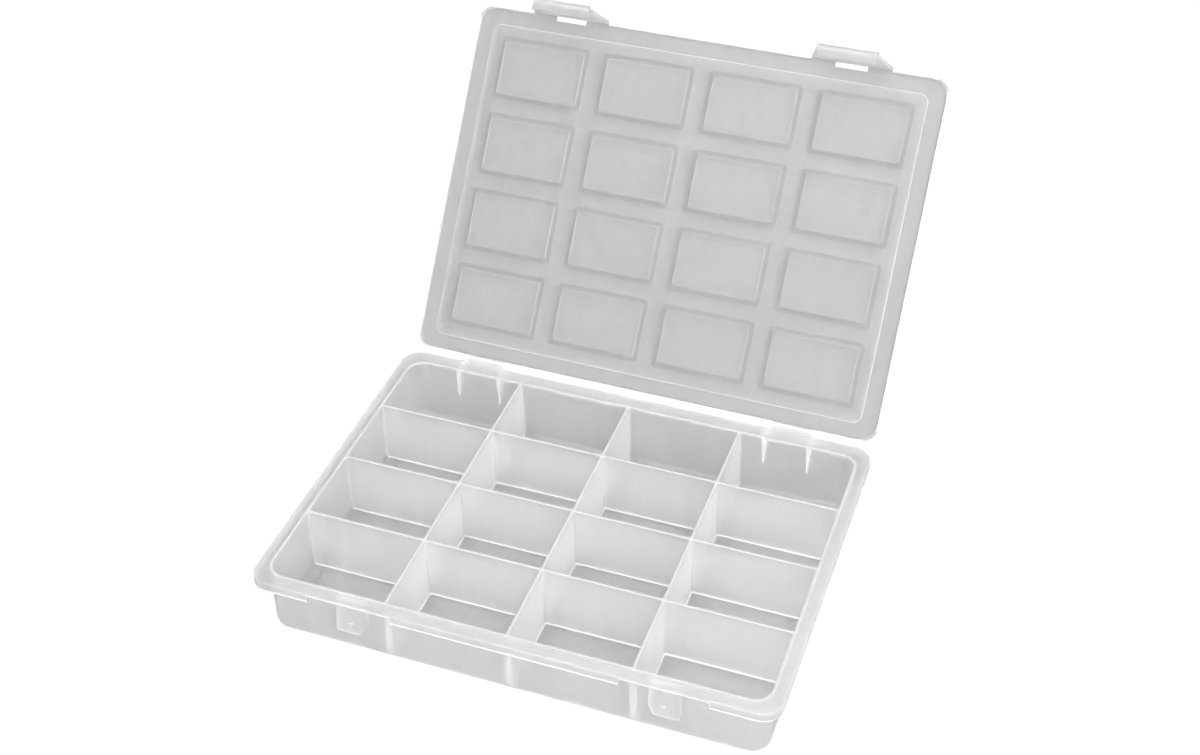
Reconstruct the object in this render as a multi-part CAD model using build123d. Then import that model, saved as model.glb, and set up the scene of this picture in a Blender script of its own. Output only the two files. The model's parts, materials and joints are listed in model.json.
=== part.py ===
from build123d import *
import math
import os

os.makedirs("parts", exist_ok=True)

# Assortment box in clear plastic: a divided tray and a hinged lid with two snap latches.
# Millimetres. X to the right, Y to the back, Z up, origin on the table under the rim's centre.
# The lid is worked out closed and then turned open about its hinge line.

# Rim of the tray: a flat ledge all round with a turned-down skirt
rim_width = 250.0
rim_depth = 181.2
rim_corner_r = 10.0
rim_thick = 1.3
rim_edge_r = 0.6
skirt_height = 5.0
ledge_drop = 0.6

# Tray box: how far the inner walls stand in from the rim's edge, then walls and floor
margin_side = 6.9
margin_front = 7.1
margin_rear = 8.9
inside_corner_r = 8.0
inside_bottom_r = 2.5
wall_thick = 1.3
floor_thick = 1.5
outside_bottom_r = 3.5

# Foot ring that the box stands on
foot_height = 0.9
foot_width = 2.1
foot_inset = 6.0
foot_corner_r = 6.0

# Fixed dividers, thicker at the foot so that they leave the mould
divider_height = 33.2
divider_top_thick = 1.3
divider_foot_thick = 2.7
end_column_width = 59.7
front_row_depth = 42.6
rear_row_depth = 39.4

# Latch catches on the front wall, below a notch in the skirt
latch_from_edge = 51.0
notch_width = 40.5
notch_corner_r = 1.0
notch_clear = 0.4
catch_width = 14.3
catch_height = 16.9
catch_top_out = 2.4
catch_bottom_out = 5.2
catch_wall = 1.3
catch_chamfer_x = 2.6
catch_chamfer_z = 5.0
nub_width = 2.4
nub_height = 1.8
nub_proud = 0.8
nub_above_bottom = 4.8
rib_width = 1.4
rib_height = 7.7
rib_proud = 0.4
nub_root = 0.2

# Hinge: tray ears with the pins of the lid's knuckles between them
hinge_behind_rim = 3.0
hinge_below_ledge = 1.3
hinge_from_edge = 42.55
ear_spacing = 20.1
ear_thick = 2.5
ear_r = 2.4
ear_below_ledge = 0.1
ear_slot_play = 0.1
gusset_height = 16.2
gusset_foot = 1.6
pin_r = 1.5
pin_play = 0.05
pin_reach = 2.3
knuckle_r = 2.4
knuckle_side_play = 0.25
knuckle_lip_play = 0.1
knuckle_top_thick = 0.7
knuckle_slope_drop = 0.4
heel_width = 2.0
open_angle = 126.7

# Lid: plate with a turned-down edge and a field that sinks to the divider tops
lid_side_inset = 0.4
lid_front_overhang = 0.6
lid_rear_inset = 1.1
lid_corner_r = 11.0
lid_thick = 1.3
lid_lip_thick = 1.4
lid_lip_height = 2.8
lid_edge_r = 1.1
lid_inner_r = 1.0
seat_gap = 0.05
field_drop = 0.9
field_side_play = 0.3
field_front_play = 1.7
field_rear_play = 5.5
field_corner_r = 3.5
field_wall = 1.1
field_root = 0.3
ear_notch_play = 0.4
ear_notch_side_play = 0.3

# Sixteen shallow pads on the lid, one over each compartment
pad_columns = 4
pad_rows = 4
pad_gap = 7.6
pad_margin_side = 4.5
pad_margin_front = 4.7
pad_margin_rear = 5.5
pad_corner_r = 2.0
pad_bevel = 2.9
pad_drop = 0.5

# Latches on the lid's front edge
latch_root_inset = 1.2
latch_root_width = 41.0
latch_end_width = 30.0
latch_side_play = 0.3
latch_web_thick = 0.65
latch_thick = 1.5
latch_root_out = 0.7
latch_end_out = 3.0
latch_fillet_r = 1.0
latch_shoulder = 0.8
slot_width = 16.6
slot_depth = 3.3
hook_bite = 1.1
hook_gap = 0.3
hook_thick = 1.2
hook_tip_height = 0.4
hook_slope = 0.9
grip_proud = 0.7
grip_height = 1.4
grip_bevel = 0.7

# How far a cutting block runs past what it cuts
overrun = 1.0


def rounded_block(half_x, y_front, y_rear, corner_r, z_low, z_high):
    plan = RectangleRounded(2 * half_x, y_rear - y_front, corner_r)
    return Pos(0, (y_front + y_rear) / 2, z_low) * extrude(plan, z_high - z_low)


def block(x0, x1, y0, y1, z0, z1):
    middle = Pos((x0 + x1) / 2, (y0 + y1) / 2, (z0 + z1) / 2)
    return middle * Box(x1 - x0, y1 - y0, z1 - z0)


def side_profile(points, x_middle, width):
    # closed outline in the Y-Z plane, given the width along X
    outline = [(x_middle - width / 2, y, z) for y, z in points]
    return extrude(make_face(Polyline(outline, close=True)), width, dir=(1, 0, 0))


def front_profile(points, y_near, depth):
    # closed outline in the X-Z plane, given the depth along Y
    outline = [(x, y_near, z) for x, z in points]
    return extrude(make_face(Polyline(outline, close=True)), depth, dir=(0, 1, 0))


def rod(x_middle, length, y, z, radius):
    return Pos(x_middle, y, z) * Rot(0, 90, 0) * Cylinder(radius, length)


def level_edges(solid, z):
    # the edges that lie flat at this height
    def lies_flat(edge):
        box = edge.bounding_box()
        return abs(box.min.Z - z) < 1e-4 and abs(box.max.Z - z) < 1e-4

    return [edge for edge in solid.edges() if lies_flat(edge)]


def save(shape, node):
    shape.label = node
    export_step(shape, "parts/" + node + ".step")


# Heights and lines that follow from the sizes above
floor_top_z = foot_height + floor_thick
divider_top_z = floor_top_z + divider_height
ledge_z = divider_top_z - ledge_drop
ledge_under_z = ledge_z - rim_thick
skirt_bottom_z = ledge_z - skirt_height
rim_half_width = rim_width / 2
rim_half_depth = rim_depth / 2
inside_half_width = rim_half_width - margin_side
inside_front_y = margin_front - rim_half_depth
inside_rear_y = rim_half_depth - margin_rear
outside_half_width = inside_half_width + wall_thick
outside_front_y = inside_front_y - wall_thick
outside_rear_y = inside_rear_y + wall_thick
latch_x = rim_half_width - latch_from_edge
hinge_x = rim_half_width - hinge_from_edge
hinge_y = rim_half_depth + hinge_behind_rim
hinge_z = ledge_z - hinge_below_ledge
hinge_axis = Axis((0, hinge_y, hinge_z), (1, 0, 0))

# Inner space of the tray, used to cut the shell and to trim the dividers
inner_space = rounded_block(
    inside_half_width, inside_front_y, inside_rear_y, inside_corner_r, floor_top_z, divider_top_z
)
inner_space = fillet(level_edges(inner_space, floor_top_z), inside_bottom_r)
mouth = rounded_block(
    inside_half_width,
    inside_front_y,
    inside_rear_y,
    inside_corner_r,
    divider_top_z - overrun,
    divider_top_z + overrun,
)

# Tray shell: box, rim, skirt and foot ring
tray_box = rounded_block(
    outside_half_width,
    outside_front_y,
    outside_rear_y,
    inside_corner_r + wall_thick,
    foot_height,
    divider_top_z,
)
tray_box = fillet(level_edges(tray_box, foot_height), outside_bottom_r)
rim = rounded_block(
    rim_half_width, -rim_half_depth, rim_half_depth, rim_corner_r, skirt_bottom_z, ledge_z
)
rim = fillet(level_edges(rim, ledge_z), rim_edge_r)
rim_hollow = rounded_block(
    rim_half_width - rim_thick,
    rim_thick - rim_half_depth,
    rim_half_depth - rim_thick,
    rim_corner_r - rim_thick,
    skirt_bottom_z - overrun,
    ledge_under_z,
)
foot_outer = rounded_block(
    outside_half_width - foot_inset,
    outside_front_y + foot_inset,
    outside_rear_y - foot_inset,
    foot_corner_r,
    0,
    foot_height + floor_thick / 2,
)
foot_inner = rounded_block(
    outside_half_width - foot_inset - foot_width,
    outside_front_y + foot_inset + foot_width,
    outside_rear_y - foot_inset - foot_width,
    foot_corner_r - foot_width,
    -overrun,
    foot_height,
)
tray_shell = tray_box + (rim - rim_hollow) + (foot_outer - foot_inner)
tray_shell -= inner_space + mouth
for side in (-1, 1):
    notch = block(
        side * latch_x - notch_width / 2,
        side * latch_x + notch_width / 2,
        -rim_half_depth - overrun,
        -rim_half_depth + rim_thick + notch_clear,
        skirt_bottom_z - overrun,
        ledge_under_z,
    )
    upper_corners = [e for e in level_edges(notch, ledge_under_z) if e.bounding_box().size.X < 1e-4]
    tray_shell -= fillet(upper_corners, notch_corner_r)
ear_out = ear_spacing / 2 + ear_thick / 2
ear_centres = [side * hinge_x + step * ear_out for side in (-1, 1) for step in (-1, 1)]
for x in ear_centres:
    tray_shell -= block(
        x - ear_thick / 2,
        x + ear_thick / 2,
        rim_half_depth - rim_thick - ear_slot_play,
        rim_half_depth + overrun,
        skirt_bottom_z - overrun,
        ledge_under_z,
    )
save(tray_shell, "tray_shell")


def divider_wedge(length):
    # a wall along Y that is thicker at the floor than at its top
    low = divider_foot_thick / 2
    high = divider_top_thick / 2
    points = [(-low, floor_top_z), (low, floor_top_z), (high, divider_top_z), (-high, divider_top_z)]
    return front_profile(points, -length / 2, length)


# Long dividers, front to back, numbered from the left
column_pitch = inside_half_width - end_column_width
long_dividers = []
for number in range(3):
    wedge = Pos((number - 1) * column_pitch, 0, 0) * divider_wedge(rim_depth)
    long_dividers.append(wedge & inner_space)
    save(long_dividers[number], "long_divider_" + str(number + 1))

# Cross dividers, cut into segments by the long ones; row 1 is at the back, column 1 at the left
first_row_y = inside_rear_y - rear_row_depth
last_row_y = inside_front_y + front_row_depth
for row in range(3):
    row_y = first_row_y + (last_row_y - first_row_y) * row / 2
    cross_wall = Pos(0, row_y, 0) * Rot(0, 0, 90) * divider_wedge(rim_width)
    cross_wall = cross_wall & inner_space
    for divider in long_dividers:
        cross_wall -= divider
    segments = sorted(cross_wall.solids(), key=lambda s: s.center().X)
    for column in range(4):
        name = "cross_divider_" + str(row + 1) + "_" + str(column + 1)
        save(segments[column], name)

# Catch plates: a leaning plate on two side ribs, with a nub and a thin rib on its face
catch_bottom_z = ledge_under_z - catch_height
catch_top_y = outside_front_y - catch_top_out
catch_bottom_y = outside_front_y - catch_bottom_out
catch_lean = (catch_bottom_out - catch_top_out) / catch_height


def catch_face_y(z):
    return catch_top_y - catch_lean * (ledge_under_z - z)


for side, label in ((-1, "left"), (1, "right")):
    x = side * latch_x
    plate = side_profile(
        [
            (outside_front_y, ledge_under_z),
            (catch_top_y, ledge_under_z),
            (catch_bottom_y, catch_bottom_z),
            (outside_front_y, catch_bottom_z),
        ],
        x,
        catch_width,
    )
    pocket_top_z = ledge_under_z - catch_wall
    pocket_low_z = catch_bottom_z - overrun
    pocket = side_profile(
        [
            (outside_front_y + overrun, pocket_top_z),
            (catch_face_y(pocket_top_z) + catch_wall, pocket_top_z),
            (catch_face_y(pocket_low_z) + catch_wall, pocket_low_z),
            (outside_front_y + overrun, pocket_low_z),
        ],
        x,
        catch_width - 2 * catch_wall,
    )
    inner_edge = x - side * catch_width / 2
    corner_cut = front_profile(
        [
            (inner_edge - side * overrun, catch_bottom_z - overrun),
            (inner_edge + side * catch_chamfer_x, catch_bottom_z - overrun),
            (inner_edge + side * catch_chamfer_x, catch_bottom_z),
            (inner_edge, catch_bottom_z + catch_chamfer_z),
            (inner_edge - side * overrun, catch_bottom_z + catch_chamfer_z),
        ],
        catch_bottom_y - overrun,
        catch_bottom_out + 2 * overrun,
    )
    nub_low = catch_bottom_z + nub_above_bottom - nub_height / 2
    nub_high = nub_low + nub_height
    nub = side_profile(
        [
            (catch_face_y(nub_high + nub_proud) + nub_root, nub_high + nub_proud),
            (catch_face_y(nub_high) - nub_proud, nub_high),
            (catch_face_y(nub_low) - nub_proud, nub_low),
            (catch_face_y(nub_low) + nub_root, nub_low),
        ],
        x,
        nub_width,
    )
    rib_top = nub_high + rib_height
    thin_rib = side_profile(
        [
            (catch_face_y(rib_top) + nub_root, rib_top),
            (catch_face_y(rib_top) - rib_proud, rib_top),
            (catch_face_y(nub_high) - rib_proud, nub_high),
            (catch_face_y(nub_high) + nub_root, nub_high),
        ],
        x,
        rib_width,
    )
    save(plate - pocket - corner_cut + nub + thin_rib, "catch_plate_" + label)

# Hinge ears: each plate stands on the rear wall, passes the skirt and ends round the hinge line
gusset_bottom_z = ledge_under_z - gusset_height
ear_top_z = ledge_z - ear_below_ledge
for number, x in enumerate(ear_centres):
    ear = side_profile(
        [
            (outside_rear_y, gusset_bottom_z),
            (outside_rear_y + gusset_foot, gusset_bottom_z),
            (rim_half_depth, skirt_bottom_z),
            (hinge_y, hinge_z - ear_r),
            (hinge_y, ear_top_z),
            (outside_rear_y, ear_top_z),
        ],
        x,
        ear_thick,
    )
    ear += rod(x, ear_thick, hinge_y, hinge_z, ear_r)
    ear -= rod(x, 2 * ear_thick, hinge_y, hinge_z, pin_r + pin_play)
    ear -= tray_shell
    save(ear.solids().sort_by(SortBy.VOLUME)[-1], "hinge_ear_" + str(number + 1))

# Lid plate in its closed place, with its sunk field
lid_low_z = ledge_z + seat_gap
lid_top_z = lid_low_z + lid_lip_height
lid_under_z = lid_top_z - lid_thick
field_under_z = lid_under_z - field_drop
lid_half_width = rim_half_width - lid_side_inset
lid_front_y = -rim_half_depth - lid_front_overhang
lid_rear_y = hinge_y - lid_rear_inset
field_half_width = outside_half_width - foot_inset + field_side_play
field_front_y = outside_front_y + foot_inset - field_front_play
field_rear_y = outside_rear_y - foot_inset + field_rear_play
lid_panel = rounded_block(
    lid_half_width, lid_front_y, lid_rear_y, lid_corner_r, lid_low_z, lid_top_z
)
lid_panel = fillet(level_edges(lid_panel, lid_top_z), lid_edge_r)
lid_hollow = rounded_block(
    lid_half_width - lid_lip_thick,
    lid_front_y + lid_lip_thick,
    lid_rear_y - lid_lip_thick,
    lid_corner_r - lid_lip_thick,
    lid_low_z - overrun,
    lid_under_z,
)
lid_hollow = fillet(level_edges(lid_hollow, lid_under_z), lid_inner_r)
lid_panel -= lid_hollow
lid_panel += rounded_block(
    field_half_width + field_wall,
    field_front_y - field_wall,
    field_rear_y + field_wall,
    field_corner_r + field_wall,
    field_under_z,
    lid_under_z + field_root,
)
lid_panel -= rounded_block(
    field_half_width,
    field_front_y,
    field_rear_y,
    field_corner_r,
    field_under_z + lid_thick,
    lid_top_z + overrun,
)

# Pads: shallow blocks that narrow downwards by the bevel, sunk alike on the outside
field_depth = field_rear_y - field_front_y
pad_width = (2 * field_half_width - 2 * pad_margin_side - (pad_columns - 1) * pad_gap) / pad_columns
pad_depth = (field_depth - pad_margin_front - pad_margin_rear - (pad_rows - 1) * pad_gap) / pad_rows


def pad_shape(z_top, rise):
    wide = RectangleRounded(pad_width, pad_depth, pad_corner_r)
    narrow = RectangleRounded(
        pad_width - 2 * pad_bevel, pad_depth - 2 * pad_bevel, pad_corner_r / 2
    )
    body = loft([Pos(0, 0, z_top) * wide, Pos(0, 0, z_top - pad_drop) * narrow])
    return body + Pos(0, 0, z_top) * extrude(wide, rise)


pad_under = pad_shape(field_under_z, lid_thick / 2)
pad_above = pad_shape(field_under_z + lid_thick, field_drop)
first_pad_x = pad_margin_side + pad_width / 2 - field_half_width
first_pad_y = field_front_y + pad_margin_front + pad_depth / 2
for row in range(pad_rows):
    for column in range(pad_columns):
        pad_x = first_pad_x + column * (pad_width + pad_gap)
        pad_y = first_pad_y + row * (pad_depth + pad_gap)
        lid_panel += Pos(pad_x, pad_y, 0) * pad_under
        lid_panel -= Pos(pad_x, pad_y, 0) * pad_above

# Room in the lid for the latches, their slots and the tray's hinge ears
latch_root_y = lid_front_y + latch_root_inset
latch_room = latch_root_width / 2 + latch_side_play
for side in (-1, 1):
    x = side * latch_x
    lid_panel -= block(
        x - latch_room,
        x + latch_room,
        lid_front_y - overrun,
        latch_root_y,
        lid_low_z - overrun,
        lid_top_z + overrun,
    )
    lid_panel -= block(
        x - latch_room,
        x + latch_room,
        lid_front_y - overrun,
        lid_front_y + lid_lip_thick + lid_inner_r,
        lid_low_z - overrun,
        lid_under_z,
    )
    lid_panel -= block(
        x - slot_width / 2,
        x + slot_width / 2,
        lid_front_y - overrun,
        lid_front_y + slot_depth,
        lid_low_z - overrun,
        lid_top_z + overrun,
    )
for x in ear_centres:
    notch_length = ear_thick + 2 * ear_notch_side_play
    lid_panel -= rod(x, notch_length, hinge_y, hinge_z, ear_r + ear_notch_play)

# Lid knuckles: a barrel under the lid's rear edge, pins at its ends and a heel that stops the lid
knuckle_width = ear_spacing - 2 * knuckle_side_play
stop_turn = math.radians(180 + open_angle)


def heel_point(out, along):
    y = hinge_y + out * math.cos(stop_turn) - along * math.sin(stop_turn)
    z = hinge_z + out * math.sin(stop_turn) + along * math.cos(stop_turn)
    return (y, z)


knuckles = []
for side in (-1, 1):
    x = side * hinge_x
    knuckle = rod(x, knuckle_width, hinge_y, hinge_z, knuckle_r)
    knuckle += side_profile(
        [
            (hinge_y - knuckle_r + knuckle_lip_play, hinge_z),
            (hinge_y - knuckle_r + knuckle_lip_play, lid_low_z),
            (lid_rear_y, lid_low_z),
            (lid_rear_y, lid_top_z - lid_edge_r),
            (lid_rear_y + knuckle_top_thick, lid_top_z - lid_edge_r),
            (hinge_y + knuckle_r, lid_low_z - knuckle_slope_drop),
            (hinge_y + knuckle_r, hinge_z),
        ],
        x,
        knuckle_width,
    )
    knuckle += side_profile(
        [
            heel_point(0, 0),
            heel_point(hinge_behind_rim, 0),
            heel_point(hinge_behind_rim, heel_width),
            heel_point(0, heel_width),
        ],
        x,
        knuckle_width,
    )
    knuckle += rod(x, knuckle_width + 2 * pin_reach, hinge_y, hinge_z, pin_r)
    knuckles.append(knuckle - lid_panel)

# Latches: a bending web at the root, a leaning tab, a hook inside and a grip lip outside
hook_top_z = catch_bottom_z - hook_gap
latch_end_z = hook_top_z - hook_thick
hook_tip_y = catch_bottom_y + hook_bite
latch_lean = (latch_end_out - latch_root_out) / (lid_top_z - latch_end_z)
web_z = lid_top_z - latch_web_thick
shoulder_z = web_z - latch_shoulder
grip_top_z = latch_end_z + grip_height


def latch_face_y(z):
    return lid_front_y - latch_root_out - latch_lean * (lid_top_z - z)


latches = []
for side in (-1, 1):
    x = side * latch_x
    inner_shoulder_y = latch_face_y(shoulder_z) + latch_thick
    section = side_profile(
        [
            (latch_root_y, lid_top_z),
            (latch_root_y, web_z),
            (inner_shoulder_y, web_z),
            (inner_shoulder_y, shoulder_z),
            (latch_face_y(hook_top_z) + latch_thick, hook_top_z),
            (hook_tip_y, hook_top_z),
            (hook_tip_y, hook_top_z - hook_tip_height),
            (hook_tip_y - hook_slope, latch_end_z),
            (latch_face_y(latch_end_z) - grip_proud, latch_end_z),
            (latch_face_y(latch_end_z) - grip_proud, grip_top_z - grip_bevel),
            (latch_face_y(grip_top_z), grip_top_z),
            (latch_face_y(lid_top_z - latch_fillet_r), lid_top_z - latch_fillet_r),
            (latch_face_y(lid_top_z) + latch_fillet_r, lid_top_z),
        ],
        x,
        latch_root_width,
    )
    root = latch_root_width / 2
    end = latch_end_width / 2
    outline = front_profile(
        [
            (x - root, lid_top_z),
            (x - root, web_z),
            (x - end, latch_end_z),
            (x + end, latch_end_z),
            (x + root, web_z),
            (x + root, lid_top_z),
        ],
        lid_front_y - latch_end_out - grip_proud - overrun,
        rim_half_depth,
    )
    latch = section & outline
    latch -= block(
        x - slot_width / 2,
        x + slot_width / 2,
        inner_shoulder_y,
        latch_root_y + overrun,
        shoulder_z - overrun,
        lid_top_z + overrun,
    )
    latches.append(latch)

# Turn the lid and what it carries open, then write the pieces
turned = [
    (lid_panel, "lid_panel"),
    (knuckles[0], "lid_knuckle_left"),
    (knuckles[1], "lid_knuckle_right"),
    (latches[0], "latch_left"),
    (latches[1], "latch_right"),
]
for shape, node in turned:
    save(shape.rotate(hinge_axis, -open_angle), node)
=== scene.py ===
import json
import math

import bmesh
import bpy
from mathutils import Matrix, Vector


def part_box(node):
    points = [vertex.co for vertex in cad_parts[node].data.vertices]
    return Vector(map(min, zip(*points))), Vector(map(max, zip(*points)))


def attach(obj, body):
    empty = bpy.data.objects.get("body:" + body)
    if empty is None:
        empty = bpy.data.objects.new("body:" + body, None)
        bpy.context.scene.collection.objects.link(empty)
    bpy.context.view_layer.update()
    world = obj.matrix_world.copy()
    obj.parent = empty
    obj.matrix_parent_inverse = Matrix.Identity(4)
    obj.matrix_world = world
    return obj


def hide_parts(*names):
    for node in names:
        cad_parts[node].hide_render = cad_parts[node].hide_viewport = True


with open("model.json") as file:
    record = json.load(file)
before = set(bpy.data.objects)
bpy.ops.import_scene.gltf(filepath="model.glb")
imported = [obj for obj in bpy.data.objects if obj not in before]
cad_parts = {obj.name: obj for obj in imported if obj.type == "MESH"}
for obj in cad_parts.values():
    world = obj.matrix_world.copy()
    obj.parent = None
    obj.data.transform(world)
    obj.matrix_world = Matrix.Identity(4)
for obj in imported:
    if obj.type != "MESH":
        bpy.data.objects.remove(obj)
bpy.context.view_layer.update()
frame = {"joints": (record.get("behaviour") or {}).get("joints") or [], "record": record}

# Tray moulding: a shallow box with a rim, a turned-down skirt and sixteen fixed compartments.
# Natural polypropylene, shot in one piece: dividers, latch catches and hinge ears are one with it.
# Inside corners carry a small fillet, and each divider thickens towards its foot to leave the mould.
MM = 0.001
rim_low, rim_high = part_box("tray_shell")
rim_corner_r = 10 * MM
rim_edge_r = 0.6 * MM
rim_root_r = 0.6 * MM
bead_root_r = 0.25 * MM
skirt_edge_r = 0.25 * MM
skirt_bead_height = 0.5 * MM
skirt_bead_proud = 0.3 * MM
skirt_height = 5 * MM
ledge_drop = 0.6 * MM
bead_top_z = rim_high.z
ledge_z = bead_top_z - ledge_drop
skirt_low_z = ledge_z - skirt_height
wall_thick = 1.3 * MM
ledge_under_z = ledge_z - wall_thick
margin_side = 6.9 * MM
margin_front = 7.1 * MM
margin_rear = 8.9 * MM
inside_corner_r = 8 * MM
wall_foot_r = 2.5 * MM
outside_foot_r = 3.5 * MM
foot_height = 0.9 * MM
foot_width = 2.1 * MM
foot_inset = 6 * MM
foot_corner_r = 6 * MM
foot_edge_r = 0.3 * MM
floor_thick = 1.5 * MM
floor_z = foot_height + floor_thick
top_edge_r = 0.3 * MM
divider_half_top = 0.65 * MM
divider_half_foot = 1.35 * MM
divider_foot_r = 0.8 * MM
divider_corner_r = 1.0 * MM
smallest_r = 0.15 * MM
corner_steps = 8
round_steps = 4
edge_steps = 2
mouth_steps = 3
foot_steps = 6
weld_distance = 1e-6
corners = (("right", "rear"), ("left", "rear"), ("left", "front"), ("right", "front"))
LEVEL = "starts level"
UPRIGHT = "starts upright"


def outline(half_x, front_y, rear_y, corner_r):
    # a rectangle in plan with round corners: its four sides and its four corner radii
    return {
        "left": -half_x,
        "right": half_x,
        "front": front_y,
        "rear": rear_y,
        "r": [corner_r] * len(corners),
    }


def inset(shape, by):
    # the same outline moved inwards all round
    return {
        "left": shape["left"] + by,
        "right": shape["right"] - by,
        "front": shape["front"] + by,
        "rear": shape["rear"] - by,
        "r": [max(r - by, smallest_r) for r in shape["r"]],
    }


def quarter(shape, start, end, way, steps=round_steps):
    # the levels of a quarter round between two (inset, height) points of one outline
    levels = []
    for step in range(steps + 1):
        turn = math.pi / 2 * step / steps
        first, last = math.sin(turn), 1 - math.cos(turn)
        across, up = (first, last) if way is LEVEL else (last, first)
        by = start[0] + (end[0] - start[0]) * across
        levels.append((inset(shape, by), start[1] + (end[1] - start[1]) * up))
    return levels


def level_points(shape, height):
    # anticlockwise points round an outline; the height is one number, or one for each side
    if not isinstance(height, dict):
        height = dict.fromkeys(("left", "right", "front", "rear"), height)
    points = []
    for number, (side_x, side_y) in enumerate(corners):
        radius = shape["r"][number]
        middle_x = shape[side_x] - math.copysign(radius, side_x == "right" or -1)
        middle_y = shape[side_y] - math.copysign(radius, side_y == "rear" or -1)
        for step in range(corner_steps + 1):
            turn = math.pi / 2 * (number + step / corner_steps)
            share = math.cos(turn) ** 2
            z = height[side_x] * share + height[side_y] * (1 - share)
            x = middle_x + radius * math.cos(turn)
            y = middle_y + radius * math.sin(turn)
            points.append((x, y, z))
    return points


def add_ring(mesh, points):
    return [mesh.verts.new(point) for point in points]


def join_rings(mesh, rings):
    for low, high in zip(rings, rings[1:]):
        for k in range(len(low)):
            n = (k + 1) % len(low)
            mesh.faces.new((low[k], low[n], high[n], high[k]))


def skin(mesh, levels):
    # one ring of points for each level, joined into a wall
    rings = [add_ring(mesh, level_points(shape, height)) for shape, height in levels]
    join_rings(mesh, rings)
    return rings


def fill_between(mesh, rings):
    # a flat face between one outer ring and the rings inside it
    pairs = [pair for ring in rings for pair in zip(ring, ring[1:] + ring[:1])]
    edges = [mesh.edges.get(pair) for pair in pairs]
    bmesh.ops.triangle_fill(mesh, use_beauty=True, use_dissolve=False, edges=edges)


def new_piece(name, mesh):
    bmesh.ops.remove_doubles(mesh, verts=mesh.verts, dist=weld_distance)
    bmesh.ops.recalc_face_normals(mesh, faces=mesh.faces)
    data = bpy.data.meshes.new(name)
    mesh.to_mesh(data)
    mesh.free()
    piece = bpy.data.objects.new(name, data)
    bpy.context.scene.collection.objects.link(piece)
    return piece


def apply_modifiers(piece):
    graph = bpy.context.evaluated_depsgraph_get()
    made = bpy.data.meshes.new_from_object(piece.evaluated_get(graph))
    piece.modifiers.clear()
    piece.data = made


def combine(piece, others, how):
    # the others are added to the piece or cut out of it, and used up
    for other in others:
        change = piece.modifiers.new(how, "BOOLEAN")
        change.operation = how
        change.solver = "EXACT"
        change.object = other
    apply_modifiers(piece)
    for other in others:
        bpy.data.objects.remove(other)


rim = outline(rim_high.x, rim_low.y, rim_high.y, rim_corner_r)
inside = outline(
    rim_high.x - margin_side, rim_low.y + margin_front, rim_high.y - margin_rear, inside_corner_r
)
wall = inset(inside, -wall_thick)
skirt = inset(rim, skirt_bead_proud)
skirt_inside = inset(rim, wall_thick)
foot = inset(wall, foot_inset)
foot["r"] = [foot_corner_r] * len(corners)

tray_mesh = bmesh.new()
outer_rings = skin(
    tray_mesh,
    quarter(wall, (top_edge_r, bead_top_z), (0, bead_top_z - top_edge_r), LEVEL, mouth_steps)
    + quarter(wall, (0, ledge_z + bead_root_r), (-bead_root_r, ledge_z), UPRIGHT, edge_steps)
    + quarter(skirt, (rim_edge_r, ledge_z), (0, ledge_z - rim_edge_r), LEVEL)
    + [(skirt, skirt_low_z + skirt_bead_height + skirt_bead_proud)]
    + [(rim, skirt_low_z + skirt_bead_height)]
    + quarter(
        rim, (0, skirt_low_z + skirt_edge_r), (skirt_edge_r, skirt_low_z), UPRIGHT, edge_steps
    )
    + quarter(
        skirt_inside,
        (-skirt_edge_r, skirt_low_z),
        (0, skirt_low_z + skirt_edge_r),
        LEVEL,
        edge_steps,
    )
    + quarter(skirt_inside, (0, ledge_under_z - rim_root_r), (rim_root_r, ledge_under_z), UPRIGHT)
    + quarter(wall, (-rim_root_r, ledge_under_z), (0, ledge_under_z - rim_root_r), LEVEL)
    + quarter(
        wall,
        (0, foot_height + outside_foot_r),
        (outside_foot_r, foot_height),
        UPRIGHT,
        foot_steps,
    )
    + quarter(foot, (-foot_edge_r, foot_height), (0, foot_height - foot_edge_r), LEVEL, edge_steps)
    + quarter(foot, (0, foot_edge_r), (foot_edge_r, 0), UPRIGHT, edge_steps)
    + quarter(foot, (foot_width - foot_edge_r, 0), (foot_width, foot_edge_r), LEVEL, edge_steps)
    + quarter(
        foot,
        (foot_width, foot_height - foot_edge_r),
        (foot_width + foot_edge_r, foot_height),
        UPRIGHT,
        edge_steps,
    ),
)
tray_mesh.faces.new(outer_rings[-1])


def divider_half(z):
    share = (bead_top_z - z) / (bead_top_z - floor_z)
    return divider_half_top + (divider_half_foot - divider_half_top) * share


def compartment_level(sides, out, up, at_top):
    # sides holds (place, is an outer wall); out and up run along the rounding, from 0 to 1
    shape = {}
    height = {}
    inwards = {"left": 1, "right": -1, "front": 1, "rear": -1}
    shrink = {}
    for side, (place, is_wall) in sides.items():
        foot_r = wall_foot_r if is_wall else divider_foot_r
        shrink[side] = -top_edge_r * out if at_top else foot_r * out
        height[side] = bead_top_z - top_edge_r * up if at_top else floor_z + foot_r * up
        move = shrink[side]
        if not is_wall:
            move += divider_half(height[side])
        shape[side] = place + inwards[side] * move
    shape["r"] = []
    for side_x, side_y in corners:
        two_walls = sides[side_x][1] and sides[side_y][1]
        radius = inside_corner_r if two_walls else divider_corner_r
        radius -= min(shrink[side_x], shrink[side_y], key=abs)
        shape["r"].append(max(radius, smallest_r))
    return shape, height


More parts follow.
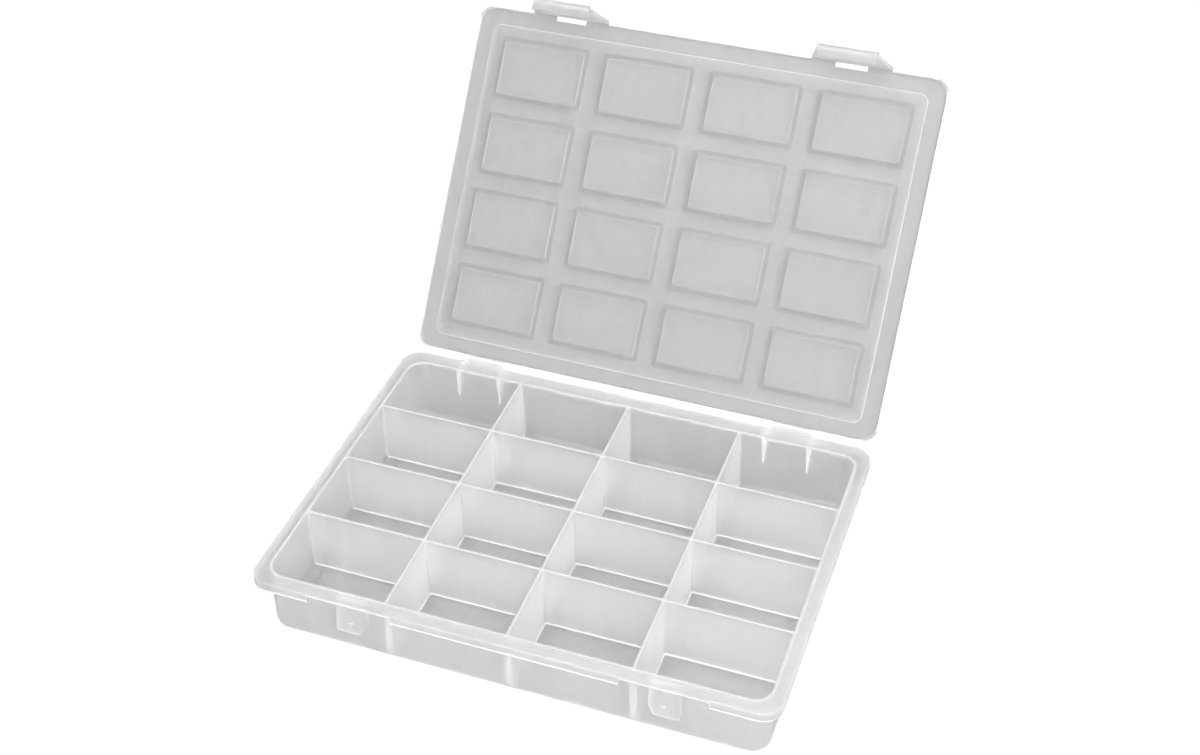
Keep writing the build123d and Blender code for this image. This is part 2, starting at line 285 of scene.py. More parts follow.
column_x = [sum(c.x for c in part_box(f"long_divider_{n}")) / 2 for n in (1, 2, 3)]
row_y = [sum(c.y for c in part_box(f"cross_divider_{n}_1")) / 2 for n in (3, 2, 1)]
x_lines = [(inside["left"], True)] + [(x, False) for x in column_x] + [(inside["right"], True)]
y_lines = [(inside["front"], True)] + [(y, False) for y in row_y] + [(inside["rear"], True)]
mouths = []
for left, right in zip(x_lines, x_lines[1:]):
    for front, rear in zip(y_lines, y_lines[1:]):
        sides = {"left": left, "right": right, "front": front, "rear": rear}
        levels = []
        for step in range(mouth_steps + 1):
            turn = math.pi / 2 * step / mouth_steps
            levels.append(
                compartment_level(sides, 1 - math.sin(turn), 1 - math.cos(turn), True)
            )
        for step in range(foot_steps + 1):
            turn = math.pi / 2 * step / foot_steps
            levels.append(
                compartment_level(sides, 1 - math.cos(turn), 1 - math.sin(turn), False)
            )
        rings = skin(tray_mesh, levels)
        tray_mesh.faces.new(rings[-1])
        mouths.append(rings[0])
fill_between(tray_mesh, [outer_rings[0]] + mouths)
tray = new_piece("tray_moulding", tray_mesh)


def prism(points, axis, start, length, taper=None):
    # a closed outline pushed along X or Y; taper gives the half length at a height instead
    mesh = bmesh.new()
    rings = []
    for end in (0, 1):
        ring = []
        for a, b in points:
            along = start + length * end
            if taper:
                along = start + (2 * end - 1) * taper(b)
            ring.append((along, a, b) if axis == "X" else (a, along, b))
        rings.append(add_ring(mesh, ring))
    join_rings(mesh, rings)
    mesh.faces.new(rings[0])
    mesh.faces.new(rings[1])
    return new_piece("block", mesh)


rod_sides = 32


def rod(x_middle, length, y, z, radius):
    turns = [2 * math.pi * k / rod_sides for k in range(rod_sides)]
    points = [(y + radius * math.cos(t), z + radius * math.sin(t)) for t in turns]
    return prism(points, "X", x_middle - length / 2, length)


# the two notches in the skirt's front and the catch plates below them
latch_x = sum(c.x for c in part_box("catch_plate_right")) / 2
notch_half = 20.25 * MM
notch_corner_r = 1 * MM
notch_clear = 0.4 * MM
notch_bead_width = 0.45 * MM
overrun = 1 * MM
catch_width = 14.3 * MM
catch_height = 16.9 * MM
catch_top_out = 2.4 * MM
catch_bottom_out = 5.2 * MM
catch_wall = 1.3 * MM
catch_chamfer_x = 2.6 * MM
catch_chamfer_z = 5 * MM
nub_width = 2.4 * MM
nub_height = 1.8 * MM
nub_proud = 0.8 * MM
nub_above_bottom = 4.8 * MM
rib_width = 1.4 * MM
rib_height = 7.7 * MM
rib_proud = 0.4 * MM
root_in = 0.2 * MM
catch_low_z = ledge_under_z - catch_height
catch_lean = (catch_bottom_out - catch_top_out) / catch_height


def catch_y(z):
    return wall["front"] - catch_top_out - catch_lean * (ledge_under_z - z)


def notch_outline(x, larger, low_z):
    # a notch's arch from foot to foot; larger widens it for the bead round it
    notch = []
    for hand in (-1, 1):
        arch = []
        for step in range(round_steps + 1):
            turn = math.pi / 2 * step / round_steps
            across = notch_half + larger - notch_corner_r * (1 - math.cos(turn))
            z = ledge_under_z + larger - notch_corner_r * (1 - math.sin(turn))
            arch.append((x + hand * across, z))
        arch.insert(0, (x + hand * (notch_half + larger), low_z))
        notch += arch if hand == 1 else arch[::-1]
    return notch


added = []
cut = []
notch_beads = []
notch_start_y = rim_low.y - overrun
for side in (-1, 1):
    x = side * latch_x
    bead = notch_outline(x, notch_bead_width, skirt_low_z)
    notch_beads.append(prism(bead, "Y", rim_low.y, skirt_bead_proud + root_in))
    notch = notch_outline(x, 0, skirt_low_z - overrun)
    cut.append(prism(notch, "Y", notch_start_y, overrun + wall_thick + notch_clear))

    plate = prism(
        [
            (wall["front"] + root_in, ledge_under_z + root_in),
            (catch_y(ledge_under_z + root_in), ledge_under_z + root_in),
            (catch_y(catch_low_z), catch_low_z),
            (wall["front"] + root_in, catch_low_z),
        ],
        "X",
        x - catch_width / 2,
        catch_width,
    )
    pocket_top_z = ledge_under_z - catch_wall
    pocket = prism(
        [
            (wall["front"], pocket_top_z),
            (catch_y(pocket_top_z) + catch_wall, pocket_top_z),
            (catch_y(catch_low_z - overrun) + catch_wall, catch_low_z - overrun),
            (wall["front"], catch_low_z - overrun),
        ],
        "X",
        x - catch_width / 2 + catch_wall,
        catch_width - 2 * catch_wall,
    )
    edge = x - side * catch_width / 2
    corner = prism(
        [
            (edge - side * overrun, catch_low_z - overrun),
            (edge + side * catch_chamfer_x, catch_low_z - overrun),
            (edge + side * catch_chamfer_x, catch_low_z),
            (edge, catch_low_z + catch_chamfer_z),
            (edge - side * overrun, catch_low_z + catch_chamfer_z),
        ],
        "Y",
        catch_y(catch_low_z) - overrun,
        wall["front"] - catch_y(catch_low_z) + 2 * overrun,
    )
    combine(plate, [pocket, corner], "DIFFERENCE")
    nub_low_z = catch_low_z + nub_above_bottom - nub_height / 2
    nub_top_z = nub_low_z + nub_height
    nub = prism(
        [
            (catch_y(nub_top_z + nub_proud) + root_in, nub_top_z + nub_proud),
            (catch_y(nub_top_z) - nub_proud, nub_top_z),
            (catch_y(nub_low_z) - nub_proud, nub_low_z),
            (catch_y(nub_low_z) + root_in, nub_low_z),
        ],
        "X",
        x - nub_width / 2,
        nub_width,
    )
    rib_top_z = nub_top_z + rib_height
    rib = prism(
        [
            (catch_y(rib_top_z) + root_in, rib_top_z),
            (catch_y(rib_top_z) - rib_proud, rib_top_z),
            (catch_y(nub_top_z) - rib_proud, nub_top_z),
            (catch_y(nub_top_z) + root_in, nub_top_z),
        ],
        "X",
        x - rib_width / 2,
        rib_width,
    )
    combine(plate, [nub, rib], "UNION")
    added.append(plate)

# the four hinge ears, each with its gusset on the rear wall
joints = {joint["name"]: joint for joint in frame["joints"]}
hinge_place = Vector(joints["lid_hinge"]["pos_m"])
open_turn = math.radians(joints["lid_hinge"]["range_deg"][1])
ear_thick = 2.5 * MM
ear_r = 2.4 * MM
ear_hole_r = 1.55 * MM
ear_below_ledge = 0.1 * MM
gusset_height = 16.2 * MM
gusset_foot = 1 * MM
gusset_thick_top = 2.3 * MM
gusset_thick_foot = 1 * MM
gusset_low_z = ledge_under_z - gusset_height
ear_x = [sum(c.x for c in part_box(f"hinge_ear_{n}")) / 2 for n in (1, 2, 3, 4)]


def gusset_half(z):
    # each gusset thins towards its foot
    share = (z - gusset_low_z) / (skirt_low_z + root_in - gusset_low_z)
    return (gusset_thick_foot + (gusset_thick_top - gusset_thick_foot) * share) / 2


for x in ear_x:
    ear = prism(
        [
            (wall["rear"] - root_in, skirt_low_z),
            (rim["rear"], skirt_low_z),
            (hinge_place.y, hinge_place.z - ear_r),
            (hinge_place.y, ledge_z - ear_below_ledge),
            (wall["rear"] - root_in, ledge_z - ear_below_ledge),
        ],
        "X",
        x - ear_thick / 2,
        ear_thick,
    )
    gusset = prism(
        [
            (wall["rear"] - root_in, gusset_low_z),
            (wall["rear"] + gusset_foot, gusset_low_z),
            (rim["rear"] - root_in, skirt_low_z + root_in),
            (wall["rear"] - root_in, skirt_low_z + root_in),
        ],
        "X",
        x,
        0,
        gusset_half,
    )
    combine(ear, [rod(x, ear_thick, hinge_place.y, hinge_place.z, ear_r), gusset], "UNION")
    combine(ear, [rod(x, 2 * ear_thick, hinge_place.y, hinge_place.z, ear_hole_r)], "DIFFERENCE")
    added.append(ear)
combine(tray, notch_beads, "UNION")
combine(tray, cut, "DIFFERENCE")
combine(tray, added, "UNION")

WHITE = (1, 1, 1)
plastic_ior = 1.49
haze_per_metre = 190
flow_size = 7 * MM
flow_stretch = (1, 1, 0.12)
flow_detail = 5
flow_roughness = 0.6
thin_flow = 0.3
thick_flow = 0.7
thin_flow_tone = 0.91
grain_size = 0.7 * MM
grain_detail = 3
grain_strength = 0.4
grain_depth = 0.02 * MM


def natural_polypropylene(name, tint, clear, milk, mould_finish, shadow=WHITE):
    # milky plastic: clear is the share that light passes through, milk the share that glows from
    # light behind it, mould_finish the smoothest and roughest places of the mould's polish, and
    # shadow what it leaves of the light that falls through it
    material = bpy.data.materials.new(name)
    material.use_nodes = True
    nodes = material.node_tree.nodes
    link = material.node_tree.links.new
    place = nodes.new("ShaderNodeTexCoord").outputs["Object"]

    # the melt's flow lines run up the walls as faint streaks and clouds
    stretch = nodes.new("ShaderNodeMapping")
    stretch.inputs["Scale"].default_value = flow_stretch
    link(place, stretch.inputs["Vector"])
    flow = nodes.new("ShaderNodeTexNoise")
    flow.inputs["Scale"].default_value = 1 / flow_size
    flow.inputs["Detail"].default_value = flow_detail
    flow.inputs["Roughness"].default_value = flow_roughness
    link(stretch.outputs["Vector"], flow.inputs["Vector"])
    tones = nodes.new("ShaderNodeValToRGB")
    tones.color_ramp.elements[0].position = thin_flow
    tones.color_ramp.elements[0].color = (*[thin_flow_tone * part for part in tint], 1)
    tones.color_ramp.elements[1].position = thick_flow
    tones.color_ramp.elements[1].color = (*tint, 1)
    link(flow.outputs["Fac"], tones.inputs["Fac"])
    polish = nodes.new("ShaderNodeMapRange")
    polish.inputs["To Min"].default_value = mould_finish[0]
    polish.inputs["To Max"].default_value = mould_finish[1]
    link(flow.outputs["Fac"], polish.inputs["Value"])

    # the mould's own fine grain
    grain = nodes.new("ShaderNodeTexNoise")
    grain.inputs["Scale"].default_value = 1 / grain_size
    grain.inputs["Detail"].default_value = grain_detail
    link(place, grain.inputs["Vector"])
    relief = nodes.new("ShaderNodeBump")
    relief.inputs["Strength"].default_value = grain_strength
    relief.inputs["Distance"].default_value = grain_depth
    link(grain.outputs["Fac"], relief.inputs["Height"])

    surface = nodes["Principled BSDF"]
    surface.inputs["IOR"].default_value = plastic_ior
    surface.inputs["Transmission Weight"].default_value = clear
    link(tones.outputs["Color"], surface.inputs["Base Color"])
    link(polish.outputs["Result"], surface.inputs["Roughness"])
    link(relief.outputs["Normal"], surface.inputs["Normal"])
    glow = nodes.new("ShaderNodeBsdfTranslucent")
    link(tones.outputs["Color"], glow.inputs["Color"])
    link(relief.outputs["Normal"], glow.inputs["Normal"])
    milky = nodes.new("ShaderNodeMixShader")
    milky.inputs["Fac"].default_value = milk
    link(surface.outputs["BSDF"], milky.inputs[1])
    link(glow.outputs["BSDF"], milky.inputs[2])

    # light passes through to what lies behind, almost undimmed
    ray = nodes.new("ShaderNodeLightPath")
    window = nodes.new("ShaderNodeBsdfTransparent")
    window.inputs["Color"].default_value = (*shadow, 1)
    lit = nodes.new("ShaderNodeMixShader")
    link(ray.outputs["Is Shadow Ray"], lit.inputs["Fac"])
    link(milky.outputs["Shader"], lit.inputs[1])
    link(window.outputs["BSDF"], lit.inputs[2])
    link(lit.outputs["Shader"], nodes["Material Output"].inputs["Surface"])
    haze = nodes.new("ShaderNodeVolumeScatter")
    haze.inputs["Color"].default_value = (*WHITE, 1)
    haze.inputs["Density"].default_value = haze_per_metre
    link(haze.outputs["Volume"], nodes["Material Output"].inputs["Volume"])
    return material


# the walls; the thick or cut edges, whiter partly as painted glow; the fillets' painted highlights
tray_plastic = natural_polypropylene(
    "tray_polypropylene",
    tint=(0.997, 1, 0.998),
    clear=1,
    milk=0.12,
    mould_finish=(0.28, 0.34),
)
# the edges' whiter, less clear plastic is partly real scatter in thicker plastic, partly painted
# glow standing in for light piped along the walls
edge_scatter_and_glow_plastic = natural_polypropylene(
    "thick_edge_painted_glow_polypropylene",
    tint=(0.87, 0.87, 0.87),
    clear=0.4,
    milk=0.3,
    mould_finish=(0.3, 0.4),
)
# near-opaque white plastic: a painted highlight for the bright lines where fillets and edges catch
# the light
highlight_line_plastic = natural_polypropylene(
    "fillet_painted_highlight_polypropylene",
    tint=WHITE,
    clear=0.15,
    milk=0.3,
    mould_finish=(0.3, 0.4),
)
smooth_below = math.radians(35)


def lay_finishes(piece, main, finishes):
    # finishes pairs each other material with a test of a face's middle and normal
    piece.data.materials.clear()
    piece.data.materials.append(main)
    for material, _ in finishes:
        piece.data.materials.append(material)
    for face in piece.data.polygons:
        face.material_index = 0
        for number, (_, is_there) in enumerate(finishes, 1):
            if is_there(face.center, face.normal):
                face.material_index = number


def finish_piece(piece, body, slot, *nodes):
    # smooth round the small radii, crisp elsewhere, and known to the frame
    for face in piece.data.polygons:
        face.use_smooth = True
    piece.data.set_sharp_from_angle(angle=smooth_below)
    normals = piece.modifiers.new("normals", "WEIGHTED_NORMAL")
    normals.keep_sharp = True
    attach(piece, body)
    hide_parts(*nodes)


def within(shape, place):
    across = shape["left"] < place.x < shape["right"]
    return across and shape["front"] < place.y < shape["rear"]


def nearest(places, value):
    return min(abs(value - place) for place in places)


nearly_level = 0.97
steep = 0.9
slightly_leaning = 0.1
corner_lean = 0.35
side_lean = 0.7
edge_lean = 0.5
ear_reach = 0.6 * ear_thick
bead_reach = 0.9 * skirt_bead_proud


def is_fillet_line(place, normal):
    # the fillets at the dividers' feet, the foot ring's sides, and the bead on the skirt's edge,
    # which carry a painted highlight
    by_column = nearest(column_x, place.x) < divider_half_foot + divider_foot_r
    by_row = nearest(row_y, place.y) < divider_half_foot + divider_foot_r
    if within(wall, place):
        if place.z < foot_height:
            return abs(normal.z) < steep
        if place.z < floor_z + divider_foot_r:
            at_divider = place.z > floor_z and (by_column or by_row)
            return at_divider and slightly_leaning < normal.z < nearly_level
        return False
    return not within(inset(rim, bead_reach), place)


def is_edge_with_painted_glow(place, normal):
    # where walls meet or end the plastic is thicker or cut across and scatters more; these faces are
    # also made whiter as painted glow, for light piped along the walls and caught at the edges
    by_column = nearest(column_x, place.x) < divider_half_foot + divider_foot_r
    by_row = nearest(row_y, place.y) < divider_half_foot + divider_foot_r
    if within(wall, place):
        if place.z > bead_top_z - top_edge_r:
            return True
        at_corner = abs(normal.x) > corner_lean and abs(normal.y) > corner_lean
        at_corner = at_corner and place.y > inside["front"] + 2 * divider_corner_r
        return at_corner and (by_column or by_row) and place.z > floor_z + divider_foot_r
    if place.y < wall["front"] - root_in and place.z < ledge_under_z - rim_root_r:
        return abs(normal.y) < side_lean and abs(place.x) < wall["right"] - inside_corner_r
    at_ear = place.y > wall["rear"] + root_in and nearest(ear_x, place.x) < ear_reach
    return at_ear and abs(normal.x) < edge_lean


bodies = frame["record"]["behaviour"]["bodies"]
lay_finishes(
    tray, tray_plastic, [(edge_scatter_and_glow_plastic, is_edge_with_painted_glow), (highlight_line_plastic, is_fillet_line)]
)
finish_piece(tray, "tray", "tray_plastic", *bodies["tray"])

# Lid moulding: a plate with a turned-down edge, a field that sinks to the divider tops, and sixteen
# shallow pads, one over each compartment. Shot in one piece in the same plastic as the tray. Its two
# hinge knuckles carry stub pins that snap between the tray's ears. Made closed, then turned open.
lid_side_inset = 0.4 * MM
lid_front_overhang = 0.6 * MM
lid_rear_inset = 1.1 * MM
lid_corner_r = 11 * MM
lid_lip_thick = 1.4 * MM
lid_lip_height = 2.8 * MM
lid_edge_r = 1.1 * MM
lid_inner_r = 1 * MM
lid_low_edge_r = 0.3 * MM
seat_gap = 0.05 * MM
field_drop = 0.9 * MM
field_side_play = 0.3 * MM
field_front_play = 1.7 * MM
field_rear_play = 5.5 * MM
field_corner_r = 3.5 * MM
field_wall = 1.1 * MM
field_edge_r = 0.25 * MM
pads_each_way = 4
pad_gap = 7.6 * MM
pad_margin_side = 4.5 * MM
pad_margin_front = 4.7 * MM
pad_margin_rear = 5.5 * MM
pad_corner_r = 2 * MM
pad_bevel = 2.9 * MM
pad_drop = 0.5 * MM
pad_line = 0.35 * MM
pad_inner_r = 1.4 * MM
lip_round_steps = 6
lip_end_steps = 3

lid_low_z = ledge_z + seat_gap
lid_top_z = lid_low_z + lid_lip_height
lid_under_z = lid_top_z - wall_thick
field_under_z = lid_under_z - field_drop
field_top_z = field_under_z + wall_thick
lid_edge = outline(
    rim_high.x - lid_side_inset,
    rim_low.y - lid_front_overhang,
    hinge_place.y - lid_rear_inset,
    lid_corner_r,
)
lid_hollow = inset(lid_edge, lid_lip_thick)
field = outline(
    wall["right"] - foot_inset + field_side_play,
    wall["front"] + foot_inset - field_front_play,
    wall["rear"] - foot_inset + field_rear_play,
    field_corner_r,
)
field_step = inset(field, -field_wall)

lid_mesh = bmesh.new()
lid_rings = skin(
    lid_mesh,
    quarter(field, (field_edge_r, field_top_z), (0, field_top_z + field_edge_r), LEVEL, edge_steps)
    + quarter(
        field, (0, lid_top_z - field_edge_r), (-field_edge_r, lid_top_z), UPRIGHT, edge_steps
    )
    + quarter(
        lid_edge, (lid_edge_r, lid_top_z), (0, lid_top_z - lid_edge_r), LEVEL, lip_round_steps
    )
    + quarter(
        lid_edge,
        (0, lid_low_z + lid_low_edge_r),
        (lid_low_edge_r, lid_low_z),
        UPRIGHT,
        lip_end_steps,
    )
    + quarter(
        lid_hollow,
        (-lid_low_edge_r, lid_low_z),
        (0, lid_low_z + lid_low_edge_r),
        LEVEL,
        lip_end_steps,
    )
    + quarter(
        lid_hollow,
        (0, lid_under_z - lid_inner_r),
        (lid_inner_r, lid_under_z),
        UPRIGHT,
        lip_round_steps,
    )
    + quarter(
        field_step,
        (-field_edge_r, lid_under_z),
        (0, lid_under_z - field_edge_r),
        LEVEL,
        edge_steps,
    )
    + quarter(
        field_step,
        (0, field_under_z + field_edge_r),
        (field_edge_r, field_under_z),
        UPRIGHT,
        edge_steps,
    ),
)
pad_gaps = (pads_each_way - 1) * pad_gap
pad_width = (2 * field["right"] - 2 * pad_margin_side - pad_gaps) / pads_each_way
field_depth = field["rear"] - field["front"]
pad_depth = (field_depth - pad_margin_front - pad_margin_rear - pad_gaps) / pads_each_way
pads = []
upper_pads = []
lower_pads = []
for row in range(pads_each_way):
    for column in range(pads_each_way):
        left = field["left"] + pad_margin_side + column * (pad_width + pad_gap)
        front = field["front"] + pad_margin_front + row * (pad_depth + pad_gap)
        pad = {
            "left": left,
            "right": left + pad_width,
            "front": front,
            "rear": front + pad_depth,
            "r": [pad_corner_r] * len(corners),
        }
        line = inset(pad, pad_bevel - pad_line)
        line["r"] = [pad_inner_r] * len(corners)
        middle = inset(pad, pad_bevel)
        middle["r"] = [pad_inner_r] * len(corners)
        pads.append(pad)
        for mouth_list, z in ((upper_pads, field_top_z), (lower_pads, field_under_z)):
            rings = skin(lid_mesh, [(pad, z), (line, z - pad_drop), (middle, z - pad_drop)])
            lid_mesh.faces.new(rings[-1])
            mouth_list.append(rings[0])
fill_between(lid_mesh, [lid_rings[0]] + upper_pads)
fill_between(lid_mesh, [lid_rings[-1]] + lower_pads)
lid = new_piece("lid_moulding", lid_mesh)

latch_root_inset = 1.2 * MM
latch_root_width = 41 * MM
latch_side_play = 0.3 * MM
slot_width = 16.6 * MM
slot_depth = 3.3 * MM


def block(x0, x1, y0, y1, z0, z1):
    return prism([(y0, z0), (y1, z0), (y1, z1), (y0, z1)], "X", x0, x1 - x0)


latch_room = latch_root_width / 2 + latch_side_play
low_z = lid_low_z - overrun
high_z = lid_top_z + overrun
near_y = lid_edge["front"] - overrun
lip_y = lid_edge["front"] + lid_lip_thick + lid_inner_r
latch_root_y = lid_edge["front"] + latch_root_inset
cut = []
for side in (-1, 1):
    x = side * latch_x
    cut.append(block(x - latch_room, x + latch_room, near_y, latch_root_y, low_z, high_z))
    cut.append(block(x - latch_room, x + latch_room, near_y, lip_y, low_z, lid_under_z))
    slot_y = lid_edge["front"] + slot_depth
    cut.append(block(x - slot_width / 2, x + slot_width / 2, near_y, slot_y, low_z, high_z))
ear_notch_play = 0.4 * MM
ear_notch_side_play = 0.3 * MM
for x in ear_x:
    notch_length = ear_thick + 2 * ear_notch_side_play
    cut.append(rod(x, notch_length, hinge_place.y, hinge_place.z, ear_r + ear_notch_play))
combine(lid, cut, "DIFFERENCE")

knuckle_r = 2.4 * MM
knuckle_lip_play = 0.1 * MM
knuckle_top_thick = 0.7 * MM
knuckle_slope_drop = 0.4 * MM
heel_width = 2 * MM
pin_r = 1.5 * MM
pin_reach = 2.3 * MM
knuckle_width = 19.6 * MM
hinge_behind_rim = hinge_place.y - rim["rear"]
stop_turn = math.pi + open_turn


def heel_point(out, along):
    # the heel meets the rim when the lid is fully open, so it is laid out from that direction
    y = hinge_place.y + out * math.cos(stop_turn) - along * math.sin(stop_turn)
    z = hinge_place.z + out * math.sin(stop_turn) + along * math.cos(stop_turn)
    return (y, z)


knuckles = []
for x in ((ear_x[0] + ear_x[1]) / 2, (ear_x[2] + ear_x[3]) / 2):
    start = x - knuckle_width / 2
    barrel = rod(x, knuckle_width, hinge_place.y, hinge_place.z, knuckle_r)
    arm = prism(
        [
            (hinge_place.y - knuckle_r + knuckle_lip_play, hinge_place.z),
            (hinge_place.y - knuckle_r + knuckle_lip_play, lid_low_z + root_in),
            (lid_edge["rear"] - root_in, lid_low_z + root_in),
            (lid_edge["rear"] - root_in, lid_top_z - lid_edge_r),
            (lid_edge["rear"] + knuckle_top_thick, lid_top_z - lid_edge_r),
            (hinge_place.y + knuckle_r, lid_low_z - knuckle_slope_drop),
            (hinge_place.y + knuckle_r, hinge_place.z),
        ],
        "X",
        start,
        knuckle_width,
    )
    heel = prism(
        [
            heel_point(0, 0),
            heel_point(hinge_behind_rim, 0),
            heel_point(hinge_behind_rim, heel_width),
            heel_point(0, heel_width),
        ],
        "X",
        start,
        knuckle_width,
    )
    pins = rod(x, knuckle_width + 2 * pin_reach, hinge_place.y, hinge_place.z, pin_r)
    combine(barrel, [arm, heel, pins], "UNION")
    knuckles.append(barrel)
combine(lid, knuckles, "UNION")

lid_shadow = (0.9, 0.9, 0.9)
lid_plastic = natural_polypropylene(
    "lid_polypropylene",
    tint=(0.99, 0.992, 0.988),
    clear=1,
    milk=0.11,
    mould_finish=(0.28, 0.34),
    shadow=lid_shadow,
)
pad_plastic = natural_polypropylene(
    "grained_pad_polypropylene",
    tint=(0.975, 0.977, 0.973),
    clear=1,
    milk=0.11,
    mould_finish=(0.3, 0.38),
    shadow=lid_shadow,
)
band_plastic = natural_polypropylene(
    "pad_band_polypropylene",
    tint=(0.88, 0.882, 0.879),
    clear=1,
    milk=0.1,
    mould_finish=(0.34, 0.42),
    shadow=lid_shadow,
)
# a lighter, less clear strip at each pad's inner edge: a painted highlight where the step's edge
# catches the light
pad_highlight_line_plastic = natural_polypropylene(
    "pad_line_painted_highlight_polypropylene",
    tint=(0.97, 0.97, 0.97),
    clear=0.8,
    milk=0.2,
    mould_finish=(0.3, 0.4),
    shadow=lid_shadow,
)
knuckle_plastic = natural_polypropylene(
    "knuckle_polypropylene",
    tint=(0.93, 0.932, 0.93),
    clear=0.7,
    milk=0.25,
    mould_finish=(0.3, 0.38),
    shadow=lid_shadow,
)


def is_knuckle(place, normal):
    return place.y > lid_edge["rear"] + smallest_r


def is_pad(place, normal):
    return any(within(inset(pad, pad_bevel), place) for pad in pads)


def is_pad_band(place, normal):
    in_band = any(within(inset(pad, -pad_line), place) for pad in pads)
    return in_band and not any(within(inset(pad, pad_bevel - pad_line), place) for pad in pads)


def is_pad_line(place, normal):
    at_pad = any(within(pad, place) for pad in pads)
    return at_pad and not is_pad(place, normal) and not is_pad_band(place, normal)


facing_down = -0.3
quite_level = 0.99


def is_lid_edge(place, normal):
    # the lip's rounded outer side and end, and the low edge of the step round the field, which carry
    # a painted highlight
    if not within(inset(lid_edge, lid_edge_r), place) and place.y < hinge_place.y - knuckle_r:
        return True
    if place.z < lid_low_z + lid_low_edge_r and not within(lid_hollow, place):
        return normal.z < facing_down
    if within(inset(field, field_edge_r), place) or place.z > field_under_z + field_edge_r:
        return False
    return within(inset(field_step, -field_edge_r), place) and abs(normal.z) < quite_level


lay_finishes(
    lid,
    lid_plastic,
    [
        (pad_plastic, is_pad),
        (band_plastic, is_pad_band),
        (pad_highlight_line_plastic, is_pad_line),
        (highlight_line_plastic, is_lid_edge),
        (knuckle_plastic, is_knuckle),
    ],
)
to_hinge = Matrix.Translation(hinge_place)
swing = to_hinge @ Matrix.Rotation(-open_turn, 4, "X") @ to_hinge.inverted()
lid.data.transform(swing)
finish_piece(lid, "lid", "lid_plastic", *bodies["lid"])

# Latches: two flaps that hang on thin bending webs at the lid's front edge, either side of a slot.
# Each has a hook that snaps under its catch plate, and a grip lip along its free end. They are shot
# in one piece with the lid, and flex at the web.
latch_end_width = 30 * MM
latch_web_thick = 0.65 * MM
latch_thick = 1.5 * MM
latch_root_out = 0.7 * MM
latch_end_out = 3 * MM
latch_fillet_r = 1 * MM
latch_shoulder = 0.8 * MM
hook_bite = 1.1 * MM
hook_gap = 0.3 * MM
hook_thick = 1.2 * MM
hook_tip_height = 0.4 * MM
hook_slope = 0.9 * MM
grip_proud = 0.7 * MM
grip_height = 1.4 * MM
grip_bevel = 0.7 * MM

hook_top_z = catch_low_z - hook_gap
latch_end_z = hook_top_z - hook_thick
hook_tip_y = catch_y(catch_low_z) + hook_bite
latch_lean = (latch_end_out - latch_root_out) / (lid_top_z - latch_end_z)
web_z = lid_top_z - latch_web_thick
shoulder_z = web_z - latch_shoulder
grip_top_z = latch_end_z + grip_height


def latch_y(z):
    return lid_edge["front"] - latch_root_out - latch_lean * (lid_top_z - z)


def latch_half(z):
    share = min(max((z - latch_end_z) / (web_z - latch_end_z), 0), 1)
    return (latch_end_width + (latch_root_width - latch_end_width) * share) / 2


# the latches are tinted darker than the lid: painted shade for the shadow the tabs sit in
latch_shade_plastic = natural_polypropylene(
    "latch_painted_shade_polypropylene",
    tint=(0.89, 0.893, 0.89),
    clear=1,
    milk=0.12,
    mould_finish=(0.28, 0.36),
    shadow=lid_shadow,
)
for side, label in ((-1, "left"), (1, "right")):
    x = side * latch_x
    inner_y = latch_y(shoulder_z) + latch_thick
    latch = prism(
        [
            (latch_root_y, lid_top_z),
            (latch_root_y, web_z),
            (inner_y, web_z),
            (inner_y, shoulder_z),
            (latch_y(hook_top_z) + latch_thick, hook_top_z),
            (hook_tip_y, hook_top_z),
            (hook_tip_y, hook_top_z - hook_tip_height),
            (hook_tip_y - hook_slope, latch_end_z),
            (latch_y(latch_end_z) - grip_proud, latch_end_z),
            (latch_y(latch_end_z) - grip_proud, grip_top_z - grip_bevel),
            (latch_y(grip_top_z), grip_top_z),
            (latch_y(lid_top_z - latch_fillet_r), lid_top_z - latch_fillet_r),
            (latch_y(lid_top_z) + latch_fillet_r, lid_top_z),
        ],
        "X",
        x,
        0,
        latch_half,
    )
    slot = block(
        x - slot_width / 2,
        x + slot_width / 2,
        inner_y,
        latch_root_y + overrun,
        shoulder_z - overrun,
        lid_top_z + overrun,
    )
    combine(latch, [slot], "DIFFERENCE")
    latch.name = latch.data.name = f"latch_{label}_tab"
    lay_finishes(latch, latch_shade_plastic, [])
    latch.data.transform(swing)
    finish_piece(latch, f"latch_{label}", "lid_plastic", f"latch_{label}")

# Studio: a sweep of white paper that the camera sees burnt out, as behind a cut-out photograph, and
# that looks light grey through the plastic. Three soft boxes light it: above, right and front.
floor_half = 4
paper_seen = 1.05
paper_grey = 0.24
paper_roughness = 0.9
room_strength = 0.76

floor_mesh = bmesh.new()
bmesh.ops.create_grid(floor_mesh, x_segments=1, y_segments=1, size=floor_half)
floor = new_piece("studio_floor", floor_mesh)
paper = bpy.data.materials.new("white_paper")
paper.use_nodes = True
paper_nodes = paper.node_tree.nodes
paper_link = paper.node_tree.links.new
sheet = paper_nodes["Principled BSDF"]
sheet.inputs["Base Color"].default_value = (paper_grey, paper_grey, paper_grey, 1)
sheet.inputs["Roughness"].default_value = paper_roughness
sheet.inputs["Specular IOR Level"].default_value = 0
burnt_out = paper_nodes.new("ShaderNodeEmission")
burnt_out.inputs["Strength"].default_value = paper_seen
paper_ray = paper_nodes.new("ShaderNodeLightPath")
either = paper_nodes.new("ShaderNodeMixShader")
paper_link(paper_ray.outputs["Is Camera Ray"], either.inputs["Fac"])
paper_link(sheet.outputs["BSDF"], either.inputs[1])
paper_link(burnt_out.outputs["Emission"], either.inputs[2])
paper_link(either.outputs["Shader"], paper_nodes["Material Output"].inputs["Surface"])
floor.data.materials.append(paper)

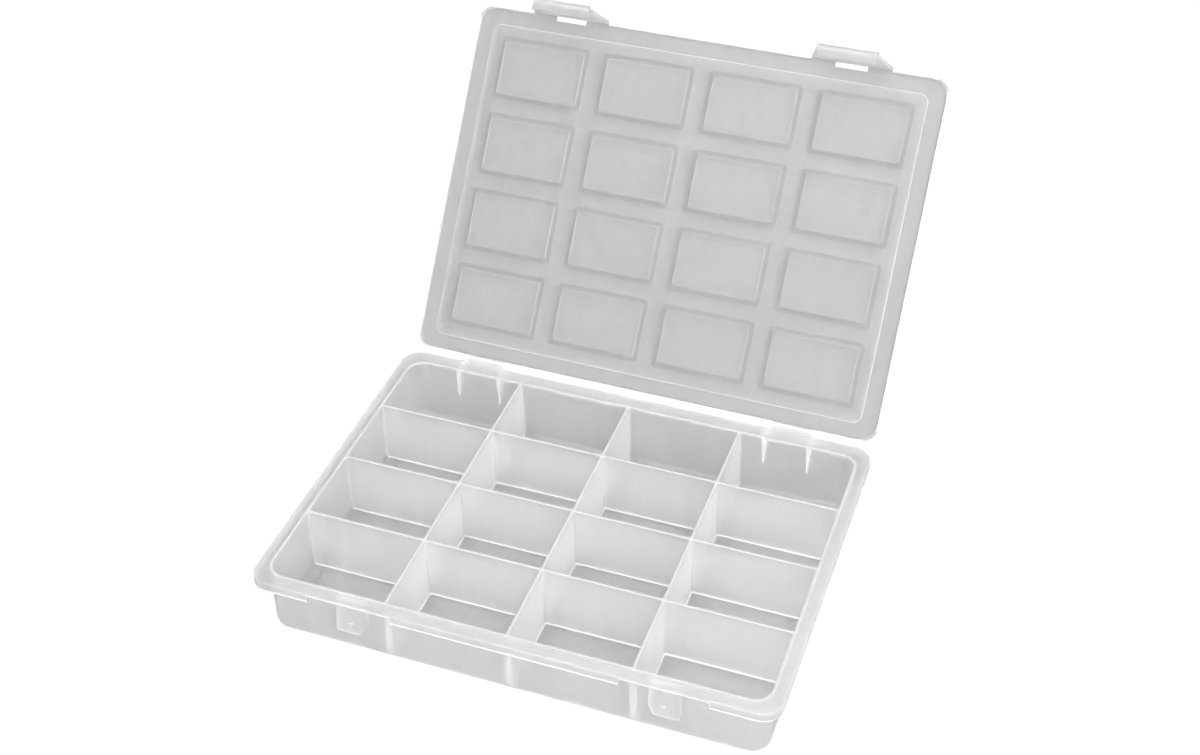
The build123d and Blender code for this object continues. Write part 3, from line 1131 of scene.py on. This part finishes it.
world = bpy.data.worlds.new("studio")
bpy.context.scene.world = world
world.use_nodes = True
sky_nodes = world.node_tree.nodes
sky_link = world.node_tree.links.new
room_light = sky_nodes["Background"]
room_light.inputs["Color"].default_value = (*WHITE, 1)
room_light.inputs["Strength"].default_value = room_strength
backdrop = sky_nodes.new("ShaderNodeBackground")
backdrop.inputs["Color"].default_value = (*WHITE, 1)
backdrop.inputs["Strength"].default_value = paper_seen
sky_ray = sky_nodes.new("ShaderNodeLightPath")
sky = sky_nodes.new("ShaderNodeMixShader")
sky_link(sky_ray.outputs["Is Camera Ray"], sky.inputs["Fac"])
sky_link(room_light.outputs["Background"], sky.inputs[1])
sky_link(backdrop.outputs["Background"], sky.inputs[2])
sky_link(sky.outputs["Shader"], sky_nodes["World Output"].inputs["Surface"])


def soft_box(name, place, size, watts):
    light = bpy.data.lights.new(name, "AREA")
    light.size = size
    light.energy = watts
    box = bpy.data.objects.new(name, light)
    box.location = place
    box.rotation_euler = Vector(place).to_track_quat("Z", "Y").to_euler()
    bpy.context.scene.collection.objects.link(box)


soft_box("overhead_box", place=(0.1, -0.5, 1.6), size=1.6, watts=21)
soft_box("right_box", place=(1.3, -1.1, 0.8), size=0.8, watts=21)
soft_box("front_box", place=(-0.2, -1.8, 0.7), size=0.8, watts=3.5)

# light that enters the plastic bounces many times before it comes out
plastic_bounces = 48
haze_bounces = 16
see_through_walls = 64
bpy.context.scene.cycles.max_bounces = plastic_bounces
bpy.context.scene.cycles.transmission_bounces = plastic_bounces
bpy.context.scene.cycles.volume_bounces = haze_bounces
bpy.context.scene.cycles.transparent_max_bounces = see_through_walls

# the camera looks down on the case from the front right, not quite 0.9 m away
camera_place = (0.219485, -0.577902, 0.610438)
camera_turn_deg = (51.3636, 0.1678, 19.4446)
sensor_width_mm = 36
focal_length_mm = 53.474
nearest_seen = 0.01
farthest_seen = 50
camera_data = bpy.data.cameras.new("camera")
camera = bpy.data.objects.new("camera", camera_data)
bpy.context.scene.collection.objects.link(camera)
camera.location = camera_place
camera.rotation_euler = [math.radians(angle) for angle in camera_turn_deg]
camera_data.sensor_width = sensor_width_mm
camera_data.lens = focal_length_mm
camera_data.clip_start = nearest_seen
camera_data.clip_end = farthest_seen
bpy.context.scene.camera = camera
bpy.context.scene.view_settings.view_transform = "Standard"
